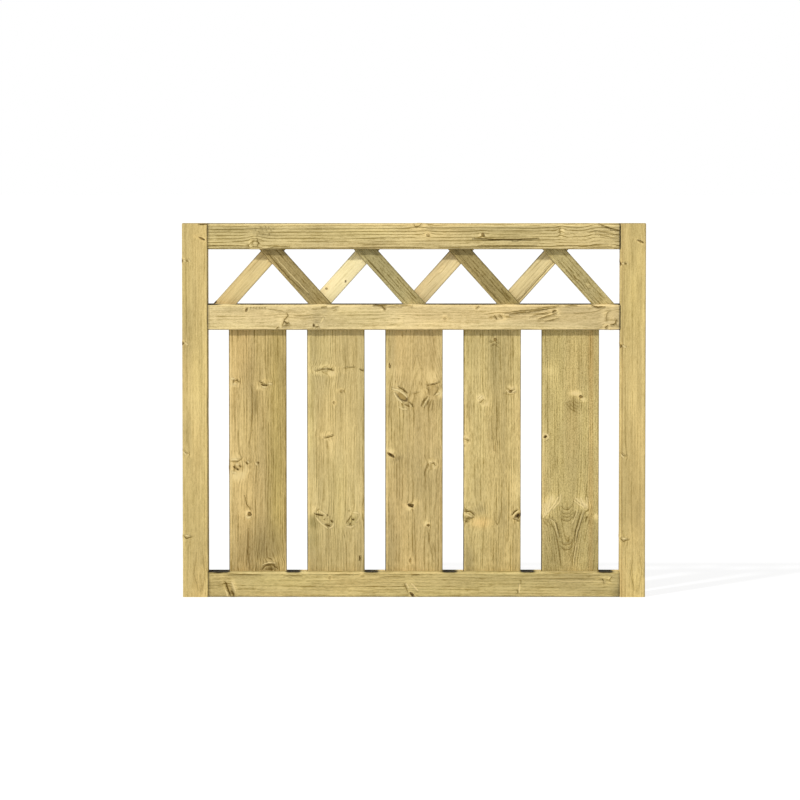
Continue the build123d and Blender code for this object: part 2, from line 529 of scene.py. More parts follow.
def pine(name, tone, log):
    """Sawn, pressure-treated pine. tone is its middle colour, and log says how strong its grain is."""
    material = bpy.data.materials.new(name)
    tree = empty_tree(material)
    s = Shading(tree)
    grain = s.attribute("grain", "Vector")
    base = np.array(linear(*tone)[:3])
    spring = base * SPRING_SCALE
    spring = (*(spring / max(1.0, spring.max())), 1.0)
    summer = (*(base * SUMMER_SCALE), 1.0)

    # Streaks and fibres along the grain
    broad = s.streaks(grain, 0.006, 0.12, 3.0)
    fine = s.streaks(grain, 0.010, 0.34, 3.0)
    fibre = s.streaks(grain, 0.10, 0.7, 2.0)
    dashes = s.ramp(s.streaks(grain, 0.016, 0.2, 2.0), -0.12, 0.12, 0.15, 1.0)

    # Year rings: pale spring wood that darkens to a broken line, each ring a little different
    rings = s.plus(s.attribute("rings"), broad, 0.5)
    place = s.math("FRACT", rings)
    year = add_node(tree, "ShaderNodeTexWhiteNoise", {"W": s.math("FLOOR", rings)}, noise_dimensions="1D")
    line = s.times(s.ramp(place, log.pale_share, 0.86), s.ramp(place, 0.90, 1.0, 1.0, 0.0))
    line = s.times(line, s.ramp(year.outputs["Value"], 0.0, 1.0, 0.2, 1.0))
    line = s.times(line, dashes)
    line = s.times(line, s.math("ADD", s.attribute("bold"), 0.85))
    share = s.plus(line, fine, 1.8)
    share = s.plus(share, fibre, 1.1 * log.short)
    share = s.plus(share, s.streaks(grain, 0.05, 0.14, 2.0), 0.6 * log.short)
    share = s.plus(share, s.streaks(grain, 0.30, 0.42, 1.0), log.specks)
    share = s.plus(s.times(share, log.show), broad, 0.6)
    colour = s.mix(s.math("ADD", share, 0.2, clamp=True), spring, summer)

    # Lighter, darker, redder and greener wood, with the painted shade and painted highlights that some
    # patches lay
    light = s.attribute("light")
    colour = s.scaled(colour, s.math("MAXIMUM", s.math("ADD", light, 1.0), DARKEST))
    colour = s.mix(s.ramp(light, 0.1, 0.55, 0.0, 0.9), colour, PALE_WOOD_AND_HIGHLIGHT)
    red = s.attribute("red")
    colour = s.tinted(colour, s.times(red, 0.8, clamp=True), RED_TINT)
    colour = s.tinted(colour, s.times(red, -0.8, clamp=True), GREEN_TINT)

    # Knots: brown wood with its own rings, and a dark gap round part of it
    away = s.plus(s.attribute("knot"), fine, 0.5)
    dark = s.attribute("knot_dark")
    core = s.mix(s.ramp(s.math("SINE", s.times(away, 15.0)), -1.0, 1.0), KNOT_BROWN, KNOT_DEEP)
    inside = s.times(s.ramp(away, 0.8, 1.1, 1.0, 0.0), s.ramp(dark, 0.2, 0.9, 0.0, 0.9))
    colour = s.mix(inside, colour, core)
    off_rim = s.math("ABSOLUTE", s.math("SUBTRACT", away, 1.02))
    rim = s.times(s.ramp(off_rim, 0.05, 0.30, 1.0, 0.0), s.ramp(dark, 0.2, 0.9))
    rim = s.times(rim, s.ramp(s.plus(s.attribute("knot_side"), dark, 0.4), 0.4, 0.9))
    colour = s.mix(rim, colour, KNOT_RIM)
    heart = s.times(s.ramp(away, 0.35, 0.95, 1.0, 0.0), s.ramp(dark, 0.7, 1.0))
    colour = s.mix(heart, colour, KNOT_HEART)

    # Dark and pale marks in shallow grooves, and the darker, thirstier wood of the cut ends
    crisp = 0.0
    soft = 0.0
    groove = 0.0
    for layer in MARK_LAYERS:
        mark = add_node(tree, "ShaderNodeSeparateXYZ", {0: s.attribute(layer, "Vector")}).outputs
        off = s.math("ABSOLUTE", mark["X"])
        gap = s.math("SUBTRACT", off, mark["Y"])
        crisp = s.plus(crisp, s.ramp(gap, -0.4, 0.5, 1.0, 0.0), mark["Z"])
        soft = s.plus(soft, s.ramp(gap, -0.8, 1.2, 1.0, 0.0), mark["Z"])
        groove = s.plus(groove, s.ramp(off, 0.0, MARK_REACH, 1.0, 0.0), mark["Z"])
    crisp = s.times(crisp, s.ramp(fibre, -0.15, 0.1, 1.5, 0.8), clamp=True)
    colour = s.tinted(colour, s.times(soft, 1.4, clamp=True), MARK_STAIN)
    colour = s.mix(s.times(soft, -1.4, clamp=True), colour, PALE_WOOD_AND_HIGHLIGHT)
    colour = s.mix(crisp, colour, MARK_DARK)
    colour = s.scaled(colour, s.ramp(s.attribute("end"), 0.0, 1.0, 1.0, END_SCALE))

    rough = s.plus(s.plus(ROUGHNESS, fine, 0.25), inside, -0.12)
    height = s.plus(s.times(line, 0.35), fibre, 0.8)
    height = s.times(s.plus(height, fine, 1.6), log.show)
    height = s.plus(s.plus(height, groove, -2.0), rim, -1.0)
    bump = add_node(tree, "ShaderNodeBump", {"Strength": 1.0, "Distance": BUMP_DEPTH, "Height": height})
    looks = {"Base Color": colour, "Roughness": rough, "Specular IOR Level": GLOSS}
    looks["Normal"] = bump.outputs[0]
    end_tree(tree, add_node(tree, "ShaderNodeBsdfPrincipled", looks))
    return material


# Timbers

# Where the rails start, how long they are between the stiles, and the level of the bottom rail's top
RAIL_START = in_mm("hinge_stile")[1][0]
RAIL_LENGTH = in_mm("latch_stile")[0][0] - RAIL_START
SILL = in_mm("bottom_rail")[1][2]


def make_stile(node, tone, log, wood):
    """An upright of the frame, measured from its foot."""
    low, high = in_mm(node)
    wide, deep, tall = high - low
    outline = section(wide, deep, FRAME_ROUND)
    build_timber(node, tone, log, outline, (0.0, tall), low, (UP, RIGHT), wood, capped=True)


def make_rail(node, tone, log, wood, dark_top_end, dark_top, groove_low=0.0, groove_high=0.0):
    """A rail between the stiles. Its joints are darker, painted shade lies along its lower arris and a
    painted highlight along its upper arris, and its top is darker as far as dark_top_end, which on the
    middle rail is painted shade between the slats' feet. dark_top says how dark the top is."""
    low, high = in_mm(node)
    length = RAIL_LENGTH
    _, deep, wide = high - low
    # Darker joints, painted shade on the lower arris, the darker top, and a painted highlight on the upper
    # arris
    sides = (
        Patch(0.0, wide / 2, 1.6, 3 * wide, -0.5), Patch(length, wide / 2, 2.3, 3 * wide, -1.0),
        Patch(0.0, wide + 0.4, 1.2 * dark_top_end * length, 1.8, -dark_top, deep=20, half_deep=40),
        Patch(length / 2, wide - 3.2, 2 * length, 1.5, 0.36),
        Patch(length / 2, -0.4, 2 * length, 1.4, -0.5),
    )
    wood = (*wood, *sides)
    outline = section(wide, deep, FRAME_ROUND, groove_low, groove_high)
    corner = np.array((RAIL_START, low[1], low[2]))
    build_timber(node, tone, log, outline, (0.0, length), corner, (RIGHT, UP), wood)


def make_board(number, tone, log, wood):
    """An upright board, measured from the bottom rail's top. Painted shade lies on its front edges, the left
    one most, beside a painted highlight on the left arris."""
    node = f"board_{number}"
    low, high = in_mm(node)
    wide, deep, tall = high - low
    # Painted shade on both front edges, and a painted highlight on the left arris
    sides = (
        Patch(0.0, 0.1, 3 * tall, 1.5, -0.8, half_deep=6), Patch(0.0, 3.6, 3 * tall, 1.8, 0.26),
        Patch(0.0, wide + 1.0, 3 * tall, 1.4, -0.6, half_deep=6),
    )
    wood = (*wood, *sides)
    outline = section(wide, deep, BOARD_ROUND)
    ends = (low[2] - SILL, high[2] - SILL)
    corner = np.array((low[0], low[1], SILL))
    build_timber(node, tone, log, outline, ends, corner, (UP, RIGHT), wood)


def make_slat(node, tone, log, rising, wood):
    """A slat whose ends are cut level. Its slope comes from its box and its width."""
    low, high = in_mm(node)
    wide, deep, tall = high - low
    reach = math.sqrt(wide**2 + tall**2 - SLAT_WIDTH**2)
    run = (wide * tall - SLAT_WIDTH * reach) / (tall**2 - SLAT_WIDTH**2)
    stretch = math.hypot(run, 1.0)
    along = np.array((run if rising else -run, 0.0, 1.0)) / stretch
    across = np.array((along[2], 0.0, -along[0]))
    half_foot = SLAT_WIDTH / 2 * stretch
    foot = low[0] + (half_foot if rising else wide - half_foot)
    corner = np.array((foot, low[1], low[2])) - across * SLAT_WIDTH / 2
    skew = -across[2] / along[2]
    first = -skew * SLAT_WIDTH / 2
    ends = (first, first + tall * stretch)
    outline = section(SLAT_WIDTH, deep, SLAT_ROUND)
    build_timber(node, tone, log, outline, ends, corner, (along, across), wood, skew)


# The timbers of the leaf, with their wood after the photograph

# Many small pale patches beside knots are partly paler wood and partly painted highlights.
STILE_TONE = (208, 184, 120)


def stile_wood(shift):
    """The knots that both stiles have and the lines that go with them, shifted along the stile."""
    return (
        Knot(721 + shift, 0, 7, 6, 0.9), Knot(768 + shift, 42, 4, 15, 0.8, 0.4, lean=22),
        Knot(545 + shift, 1, 6, 6, 0.8), Knot(311 + shift, 8, 3, 12, 0.2, 0.3, lean=35),
        Knot(129 + shift, 6, 9, 13, 0.2, 0.2, lean=20, swell=0.6), Knot(24 + shift, 42, 34, 16, 0.1, 0.2),
        (1.6, -0.6, (722 + shift, 4), (719 + shift, 8)), (1.3, 0.55, (722 + shift, 9), (719 + shift, 13)),
        (1.2, -0.4, (724 + shift, 13), (718 + shift, 17)), (1.8, -0.6, (546 + shift, 5), (541 + shift, 12)),
        (0.9, 0.4, (317 + shift, 2), (311 + shift, 7), (308 + shift, 14)),
        (1.6, -0.6, (312 + shift, 2), (306 + shift, 8)),
        (1.1, 0.5, (133 + shift, 1), (126 + shift, 8), (130 + shift, 22)),
        (1.8, -0.6, (132 + shift, 5), (131 + shift, 15)), (0.8, 0.3, (95, 30), (50, 24), (12, 34)),
        (0.8, 0.3, (90, 44), (50, 48), (14, 42)),
    )


make_stile("hinge_stile", STILE_TONE, Log(-60, 70, 0.002, 0.004, 5.0, 0.5, 11, 1.6, 1.0), (
    *stile_wood(0),
    (1.2, 0.9, (798, 36), (799, 55)),
    # A painted highlight beside the inner arris, and painted shade on the front of the inner side face
    Patch(400, 49, 600, 4, 0.14), Patch(400, 55.4, 600, 1.5, -0.8, half_deep=10),
    Patch(60, 30, 150, 40, -0.05),
    *(Dent(365 + 11 * n, 54.5, 3.0, 0.9) for n in range(6)),
))
make_stile("latch_stile", STILE_TONE, Log(-52, 66, 0.002, 0.004, 5.2, 0.5, 23, 1.6, 1.0), (
    *stile_wood(-6),
    # The patch at across -1 is a painted highlight on the inner side face and arris
    Patch(60, 30, 150, 40, -0.05), Patch(400, -1, 600, 3, 0.12), Patch(400, 4.6, 600, 0.8, -0.25, 0.6),
    Patch(400, 43.5, 600, 0.9, -0.16), Patch(400, 50, 600, 5, 0.1),
))
# Where specks lie near the left end of the top rail
TOP_SPECKS = (
    (100, 43), (108, 38), (115, 42), (117, 33), (124, 41), (130, 33),
    (134, 40), (139, 45), (104, 31), (122, 48), (112, 47), (129, 47),
)
make_rail("top_rail", (212, 191, 132), Log(-110, 50, 0.004, 0.0, 6.2, 1.1, 31, 1.0, 0.5, 0.64), (
    Knot(101, 14, 12, 15, 0.2, 0.3, swell=0.6), Knot(447, 53, 16, 10, 0.3), Knot(470, 31, 7, 6, 0.6),
    Knot(586, 31, 7, 6, 0.8, 0.3), Knot(754, 40, 7, 12, 0.1, 0.3),
    Knot(856, 84, 70, 70, 0.0, 0.0, swell=0.0),
    (0.9, 0.55, (104, 24), (108, 14), (104, 4)), (0.8, 0.45, (98, 22), (95, 13), (99, 5)),
    (1.0, 0.4, (84, 11), (90, 4)), (0.9, 0.5, (438, 55), (443, 49), (451, 50), (457, 55)),
    (0.9, 0.6, (0, 9), (44, 8), (88, 7)), (0.9, 0.6, (130, 5), (175, 7)),
    (1.2, 1.0, (566, 24), (600, 22), (660, 21), (708, 24)), (0.9, 0.6, (575, 8), (702, 9)),
    (0.8, 0.5, (742, 9), (860, 7)), (1.0, 0.5, (751, 46), (749, 40), (753, 34)),
    (1.1, 0.75, (834, 54), (858, 45), (880, 40)), (0.8, 0.5, (818, 42), (850, 36), (880, 29)),
    (0.8, 0.45, (826, 34), (878, 22)),
    *((1.3, 0.4, (v, u), (v + 2, u + 0.6)) for v, u in TOP_SPECKS),
    Patch(440, 28, 2000, 200, 0.0, bold=3.0), Patch(120, 38, 22, 13, -0.12), Patch(480, 42, 11, 9, -0.14),
    Patch(756, 40, 4, 6, 0.35), Patch(876, 28, 8, 40, -0.16),
), dark_top_end=0.3, dark_top=0.45, groove_low=SLAT_GROOVE)


def lit_before_feet():
    """Painted light on the middle rail's top in front of the feet of the slats, lifting the painted shade
    that darkens the rest of that top.
    """
    foot_inset = 35
    feet = [in_mm(f"falling_slat_{n}")[1][0] - foot_inset for n in range(1, 5)]
    feet.append(in_mm("rising_slat_1")[0][0] + foot_inset)
    return tuple(Patch(foot - RAIL_START, 55.4, 22, 1.8, 0.95, deep=8, half_deep=24) for foot in feet)


make_rail("middle_rail", (220, 198, 141), Log(-80, 90, 0.006, 0.0, 5.5, 0.75, 43, 1.4, 0.7), (
    Knot(82, 44, 5, 8, 0.6), Knot(164, 14, 12, 14, 0.2, 0.1, swell=0.7),
    Knot(230, 9, 14, 13, 0.2, 0.1, swell=0.6), Knot(376, 47, 8, 6, 0.5), Knot(399, 21, 16, 13, 0.1, 0.2),
    Knot(506, 25, 6, 6, 0.5), Knot(574, 48, 7, 5, 0.4), Knot(620, 28, 16, 10, 0.25, 0.4),
    Knot(738, 39, 10, 9, 0.35, 0.5), Knot(861, 24, 22, 28, 0.15, 0.3, swell=0.6), Knot(851, 7, 8, 7, 0.45),
    (1.2, 0.6, (84, 48), (80, 40)),
    *((1.3, 0.4, (90 + 6 * n, 47), (93 + 6 * n, 48.5)) for n in range(6)),
    (0.9, 0.4, (128, 45), (162, 41)), (1.3, 0.5, (168, 38), (171, 31), (164, 23), (159, 11), (158.5, 5)),
    (1.5, 0.7, (163, 18), (167, 15), (174, 14.5)), (1.1, 0.5, (161, 8), (166, 10), (174, 9.5)),
    (1.2, 0.6, (146, 2), (152, 7)), (0.7, 0.3, (166, 43), (186, 43)), (0.8, 0.35, (183, 30.5), (218, 30.5)),
    (1.7, 0.7, (226, 14), (226, 6)), (1.5, 0.6, (229, 6.5), (237, 8)), (1.6, -0.6, (229, 11.5), (236, 10.5)),
    (2.0, -0.5, (240, 15), (244, 22), (247, 27)), (0.9, 0.4, (222, 45.5), (231, 45)),
    (1.4, 0.5, (241, 49), (254, 50)), (1.2, 0.45, (264, 49), (280, 50)), (1.2, 0.35, (268, 42), (275, 43)),
    (1.4, 0.7, (352, 53), (382, 52)), (1.2, 0.7, (371, 51), (379, 43)), (0.8, 0.5, (382, 51), (436, 52)),
    (1.0, 0.5, (571, 45), (578, 51)), (1.2, 0.55, (611, 31), (618, 23)), (1.1, 0.5, (622, 33), (629, 25)),
    (1.1, 0.55, (632, 37), (690, 43), (748, 52)), (1.2, 0.6, (643, 33), (677, 39)),
    (1.1, 0.55, (670, 36), (705, 42), (741, 48)), (1.2, 0.55, (704, 23), (744, 36)),
    (0.9, 0.45, (686, 28), (730, 40)), (1.0, 0.45, (718, 18), (750, 26)), (1.5, 0.65, (735, 38), (741, 43)),
    (1.6, -0.55, (744, 33), (750, 40)), (1.0, 0.5, (762, 51), (788, 53)),
    (1.4, 0.7, (818, 53), (830, 49), (848, 50)), (0.9, 0.45, (859, 42), (852, 36), (850, 27), (852, 18)),
    (1.2, 0.65, (858, 12), (865, 11), (870, 15), (872, 23)), (1.2, 0.55, (847, 4), (854, 10)),
    # The first patch below is a painted shadow on the rail's top, left of the first rising slat's foot
    Patch(8, 55.6, 16, 2.4, -1.3, deep=5, half_deep=30), Patch(700, 34, 70, 24, -0.07, bold=0.6),
    Patch(820, 28, 120, 60, -0.1), Patch(440, 3.2, 2000, 1.6, 0.2), Patch(156, 12, 2.5, 9, 0.2),
    Patch(231, 18, 7, 3, -0.16), Patch(249, 39, 7, 4, -0.14), Patch(252, 45, 20, 9, -0.12, bold=0.8),
    Patch(232, 28, 9, 20, -0.12), Patch(633, 28, 4, 6, 0.2), Patch(748, 38, 5, 7, 0.24),
    Patch(847, 36, 6, 7, 0.2), Patch(861, 26, 6, 9, 0.16), Patch(876, 28, 7, 60, -0.12),
    *lit_before_feet(),
), dark_top_end=2.0, dark_top=1.1, groove_low=BOARD_GROOVE, groove_high=SLAT_GROOVE)


def painted_sill_shadow():
    """Painted shadow on the bottom rail's top, cast to the right of the stile and of each board, and painted
    light on the top beyond each board's shadow.
    """
    starts = [in_mm(f"board_{n}")[1][0] - RAIL_START for n in range(1, 6)]
    beside_stile = (0.0, 15.0)
    shifts = (4, 11, 18, 25)
    places = [start + shift for start in (*beside_stile, *starts) for shift in shifts]
    # Painted shadow of each upright on the rail's top
    dark_top = tuple(Patch(place, 56, 6, 4.0, -1.4, deep=15, half_deep=32) for place in places)
    # Painted light on the top past each board's shadow
    clear = tuple(Patch(start + 40, 54, 8, 9, 0.8, deep=27, half_deep=18) for start in starts)
    return dark_top + clear


make_rail("bottom_rail", (194, 175, 116), Log(-90, 80, -0.004, 0.0, 5.4, 0.95, 57, 1.3), (
    Knot(45, 18, 36, 9, 0.5, 0.2, lean=-64, swell=0.7), Knot(260, 42, 6, 6, 0.5), Knot(330, 46, 7, 5, 0.4),
    Knot(436, 5, 5, 14, 1.0, 0.3, lean=38), Knot(846, 36, 14, 10, 0.25, 0.6),
    (1.6, 0.7, (35, 35), (42, 16), (47, 2)), (1.7, 0.7, (49, 15), (54, 3)), (2.2, -0.6, (36, 16), (41, 2)),
    (2.4, -0.5, (49, 34), (58, 12)), (1.0, 0.5, (42, 50), (70, 49), (110, 49)),
    (0.9, 0.45, (160, 46), (200, 47)), (0.9, 0.45, (270, 49), (310, 50)), (0.8, 0.4, (366, 44), (420, 45)),
    (1.1, 0.45, (419, 30), (424, 18), (427, 8)), (1.6, -0.5, (423, 30), (429, 19)),
    (2.2, -0.5, (434, 30), (449, 14)), (1.2, 0.5, (434, 48), (452, 49)),
    (1.6, -0.55, (667, 28), (665, 18), (666, 10)), (0.9, 0.4, (669, 38), (668, 28)),
    (1.0, 0.45, (661, 17), (662, 8)), (1.1, 0.55, (843, 40), (847, 31)), (1.1, 0.45, (857, 35), (864, 44)),
    (0.8, 0.4, (690, 40), (800, 41), (840, 41)), (0.9, -0.4, (730, 35), (850, 34)),
    Patch(840, 28, 150, 60, -0.08), Patch(55, 28, 17, 5, 0.26, lean=-64),
    Patch(37, 12, 12, 4, 0.2, lean=-64), Patch(430, 30, 12, 14, 0.12), Patch(665, 18, 3, 9, 0.2),
    Patch(852, 40, 5, 6, 0.18), Patch(876, 8, 10, 16, -0.28), Patch(250, 4, 400, 8, -0.05),
    Patch(440, 49.3, 2000, 0.9, -0.2), Patch(880, 27.5, 2.3, 165, 0.65),
    *painted_sill_shadow(),
), dark_top_end=0.02, dark_top=1.1, groove_high=BOARD_GROOVE)

make_board(1, (197, 172, 113), Log(-60, 60, 0.004, 0.0, 5.0, 1.08, 101), (
    Knot(407, 14, 9, 14, 0.2), Knot(400, 75, 9, 16, 0.2, lean=-25, swell=0.5),
    Knot(223, 16, 20, 24, 0.25, swell=0.8), Knot(122, 43, 8, 8, 0.82, 0.6, swell=0.6),
    Knot(2, 86, 24, 40, 0.2),
    (1.2, 0.55, (407, 9), (410, 17), (405, 23)), (1.8, -0.6, (414, 4), (412, 12)),
    (1.4, -0.5, (402, 8), (401, 16)), (1.3, 0.6, (406, 65), (404, 74)),
    (1.4, 0.75, (401, 68), (399, 76), (398, 83)), (1.6, -0.6, (395, 70), (395, 80)),
    (1.6, -0.55, (403, 84), (401, 92)), (0.9, 0.45, (399, 48), (347, 50), (295, 47), (266, 42)),
    (0.8, 0.35, (389, 59), (337, 59)), (1.2, 0.5, (235, 4), (235, 19), (243, 29)),
    (1.8, -0.6, (240, 5), (240, 18)), (1.6, 0.65, (225, 9), (221, 14)), (1.7, 0.7, (221, 15), (217, 21)),
    (1.5, 0.6, (228, 21), (223, 26)), (1.4, -0.55, (230, 14), (228, 22)), (1.8, -0.5, (213, 5), (210, 16)),
    (1.6, 0.65, (234, 36), (229, 40)), (1.2, -0.6, (237, 38), (232, 43)), (1.7, 0.65, (235, 62), (230, 63)),
    (1.4, -0.6, (233, 57), (227, 60)), (1.0, 0.55, (162, 34), (145, 37), (130, 47)),
    (1.5, -0.6, (117, 36), (114, 41), (117, 47)), (1.1, 0.5, (91, 41), (39, 40), (2, 44)),
    (1.3, 0.6, (2, 69), (12, 78), (14, 92), (4, 105)), (1.3, -0.5, (12, 71), (18, 84), (17, 100)),
    (1.4, 0.5, (3, 77), (4, 96)),
    Patch(440, 48, 120, 14, -0.05), Patch(310, 18, 240, 26, 0.16), Patch(260, 104, 500, 22, -0.05, -0.7),
    Patch(45, 66, 60, 50, -0.15), Patch(80, 90, 40, 40, -0.08), Patch(10, 60, 60, 90, -0.12),
    Patch(392, 66, 6, 10, 0.14), Patch(244, 13, 9, 9, 0.14), Patch(203, 20, 12, 16, 0.18),
    Patch(115, 42, 7, 9, 0.16), Patch(125, 28, 10, 10, 0.1),
))
make_board(2, (201, 180, 121), Log(180, 70, -0.004, 0.0, 4.6, 0.88, 113), (
    Knot(432, 40, 9, 36, 0.25, swell=0.8), Knot(386, 73, 6, 9, 0.5, swell=0.5), Knot(362, 58, 5, 6, 0.55),
    Knot(288, 47, 7, 16, 0.3, lean=15, swell=0.6), Knot(112, 36, 46, 15, 0.1, 0.0, lean=-50, swell=0.9),
    Knot(112, 98, 40, 14, 0.1, 0.0, lean=38, swell=0.9),
    (0.9, 0.55, (428, 18), (433, 34), (434, 44)), (1.3, 0.65, (434, 43), (430, 57)),
    (0.8, 0.45, (435, 78), (437, 103)), (1.2, 0.6, (433, 112), (429, 122)),
    (1.2, 0.65, (285, 36), (290, 57)), (0.8, 0.3, (282, 43), (262, 43)), (1.1, 0.5, (127, 19), (134, 24)),
    (1.5, 0.8, (123, 15), (121, 25), (118, 35)), (1.5, 0.6, (121, 42), (117, 44)),
    (1.4, 0.5, (111, 35), (109, 38)), (1.7, 0.7, (109, 50), (104, 54)),
    (1.4, 0.7, (99, 38), (98, 44), (96, 50)), (1.6, -0.45, (130, 26), (124, 36), (114, 46)),
    (1.8, -0.55, (116, 18), (100, 32), (91, 44)), (1.8, -0.5, (91, 47), (96, 55), (103, 58)),
    (1.7, 0.7, (112, 96), (109, 101)), (1.5, 0.6, (104, 93), (98, 91)), (1.3, 0.55, (119, 94), (103, 84)),
    (1.2, 0.35, (131, 89), (128, 91)), (1.3, -0.35, (104, 104), (114, 112), (126, 116)),
    (1.8, -0.5, (126, 99), (124, 110)), (1.8, -0.5, (96, 84), (93, 92), (98, 101)),
    (1.3, 1.0, (33, 113), (22, 112)),
    Patch(20, 60, 80, 90, -0.14), Patch(400, 46, 170, 16, 0.18), Patch(430, 8, 120, 12, -0.08),
    Patch(400, 106, 70, 20, 0.1), Patch(424, 52, 7, 8, 0.36), Patch(441, 38, 5, 13, 0.2),
    Patch(262, 52, 26, 8, 0.14), Patch(113, 37, 22, 7, 0.06, lean=-50), Patch(131, 15, 10, 9, 0.24),
    Patch(106, 14, 13, 13, -0.28, -0.5), Patch(70, 12, 34, 14, -0.2, -0.4),
    Patch(110, 99, 14, 8, -0.14, -0.4, lean=38), Patch(126, 116, 12, 7, 0.26),
))
make_board(3, (195, 172, 115), Log(72, 24, 0.0, 0.0, 5.2, 0.76, 127, 1.6), (
    Knot(440, 9, 9, 4, 0.8, 0.2), Knot(375, 36, 27, 13.5, 0.7, 0.3, lean=-46, swell=0.6),
    Knot(389, 103, 22, 20, 0.42, 0.2, swell=0.9), Knot(250, 12, 6, 17, 1.0, 0.3, lean=35, swell=0.3),
    Knot(229, 98, 10, 18, 0.25, swell=0.7), Knot(141, 54, 6, 11, 0.86, 0.6, swell=0.7),
    Knot(99, 92, 6, 6, 0.82, 0.6), Knot(22, 54, 8, 6, 0.5, 0.3),
    (1.4, 0.7, (396, 27), (390, 38), (381, 48)), (1.8, -0.75, (392, 14), (388, 28), (381, 40), (372, 47)),
    (2.1, -0.7, (382, 19), (369, 27), (361, 37)), (1.3, 0.5, (363, 51), (357, 58), (352, 60)),
    (1.1, -0.4, (361, 50), (353, 56)), (1.5, 0.5, (358, 42), (353, 52)),
    (1.2, 0.55, (398, 88), (401, 104), (405, 117)), (1.1, 0.5, (394, 88), (388, 93), (379, 94)),
    (1.0, 0.45, (397, 115), (385, 111), (376, 104)), (1.8, 0.5, (375, 91), (363, 81), (353, 77)),
    (1.4, -0.5, (374, 94), (362, 86), (352, 82)), (1.3, 0.45, (367, 94), (355, 88)),
    (1.1, 0.4, (368, 99), (351, 95)), (1.0, 0.35, (366, 104), (344, 101)), (0.8, 0.35, (380, 56), (384, 74)),
    (2.2, -0.6, (378, 108), (381, 116)), (0.9, 0.45, (232, 92), (219, 86), (204, 84)),
    (1.1, 0.6, (230, 98), (232, 103), (226, 108)), (1.4, 0.8, (144, 48), (136, 60)),
    (0.8, 0.35, (130, 62), (60, 64), (0, 65)), (0.8, 0.35, (92, 90), (60, 95), (18, 104)),
    (0.7, 0.3, (60, 103), (25, 110)), (0.7, 0.3, (225, 108), (170, 112), (120, 104)),
    (0.7, 0.3, (430, 60), (462, 66)), (0.7, 0.3, (462, 69), (430, 77)),
    (1.6, -0.45, (353, 28), (347, 38), (347, 47)),
    Patch(425, 60, 22, 60, 0.14), Patch(470, 62, 60, 50, 0.0, bold=-0.7), Patch(384, 76, 18, 14, 0.16),
    Patch(362, 112, 16, 12, -0.16), Patch(282, 60, 30, 60, 0.06), Patch(60, 12, 80, 22, -0.07),
    Patch(240, 48, 130, 2.0, -0.12), Patch(414, 98, 16, 16, 0.3, ragged=0.6), Patch(381, 120, 8, 6, 0.5),
    Patch(257, 14, 5, 7, 0.3), Patch(242, 28, 5, 12, -0.24, lean=-20), Patch(233, 97, 4, 5, 0.36),
    Patch(226, 105, 6, 4, 0.36), Patch(134, 50, 5, 6, 0.36), Patch(148, 67, 7, 9, 0.24),
    Patch(104, 87, 6, 4, 0.36),
    Figure(450, 70, 2.5, 1),
))
make_board(4, (198, 177, 117), Log(-50, 75, 0.0, 0.0, 4.6, 0.92, 139, 1.6), (
    Knot(497, 68, 6, 6, 0.75), Knot(386, 101, 6, 7, 0.8, 0.5, swell=0.6),
    Knot(366, 40, 9, 14, 0.25, 0.5, lean=30, swell=0.7), Knot(281, 4, 8, 12, 0.3, 0.6),
    Knot(264, 67, 12, 6, 0.45, 0.0, swell=0.1), Knot(118, 13, 18, 28, 0.15, 0.2, swell=0.9),
    Knot(119, 117, 15, 9, 1.0, 0.4, lean=30, swell=0.6),
    (1.7, -0.6, (123, 4), (116, 19)), (1.3, 0.7, (129, 1), (127, 16), (119, 25)),
    (1.1, 0.5, (114, 3), (111, 12), (116, 24)), (1.3, 0.5, (108, 3), (105, 10)),
    (1.4, 0.7, (119, 104), (127, 109), (132, 118)), (1.3, -0.6, (118, 108), (125, 113), (129, 119)),
    (1.3, 0.55, (113, 106), (110, 112)), (1.4, -0.5, (114, 110), (112, 117)),
    (1.4, 0.6, (108, 114), (107, 121)), (0.9, 0.35, (125, 66), (103, 70), (99, 74), (117, 79), (137, 82)),
    (1.5, -0.6, (389, 91), (383, 98)), (1.5, -0.6, (383, 104), (388, 112)),
    (1.8, -0.6, (370, 33), (376, 41)), (0.9, 0.6, (393, 94), (387, 101), (390, 110)),
    (0.8, 0.35, (381, 85), (379, 99), (381, 113)), (1.2, 0.5, (369, 44), (360, 34)),
    (0.9, 0.4, (490, 57), (494, 67), (487, 77)), (0.9, 0.35, (482, 59), (486, 67), (479, 76)),
    (1.1, 0.5, (284, 1), (279, 13)), (0.7, 0.3, (364, 76), (310, 72), (262, 68)),
    (0.8, 0.35, (330, 60), (290, 63), (262, 66)),
    Patch(455, 67, 60, 9, -0.12), Patch(470, 12, 50, 16, -0.08), Patch(390, 42, 130, 16, 0.12),
    Patch(330, 112, 160, 14, 0.1), Patch(131, 33, 10, 14, -0.22), Patch(25, 10, 34, 18, -0.16),
    Patch(50, 78, 80, 16, -0.18), Patch(104, 36, 13, 22, 0.24, 0.7), Patch(260, 87, 500, 2.5, -0.1),
    Patch(119, 106, 12, 9, 0.3), Patch(123, 8, 5, 8, 0.26), Patch(372, 37, 8, 8, 0.34),
    Patch(394, 102, 6, 11, 0.26), Patch(381, 101, 3, 9, 0.22), Patch(287, 5, 5, 6, 0.3),
))
# Where the tips of the flame figure on the last board lie along it
FLAME_TIPS = (132, 122, 115, 107, 56, 45)


def ripple(along, across, radius):
    """Points on an arc below and left of a knot."""
    return tuple((along - radius * math.sin(t), across - radius * math.cos(t)) for t in (0.4, 0.9, 1.4))


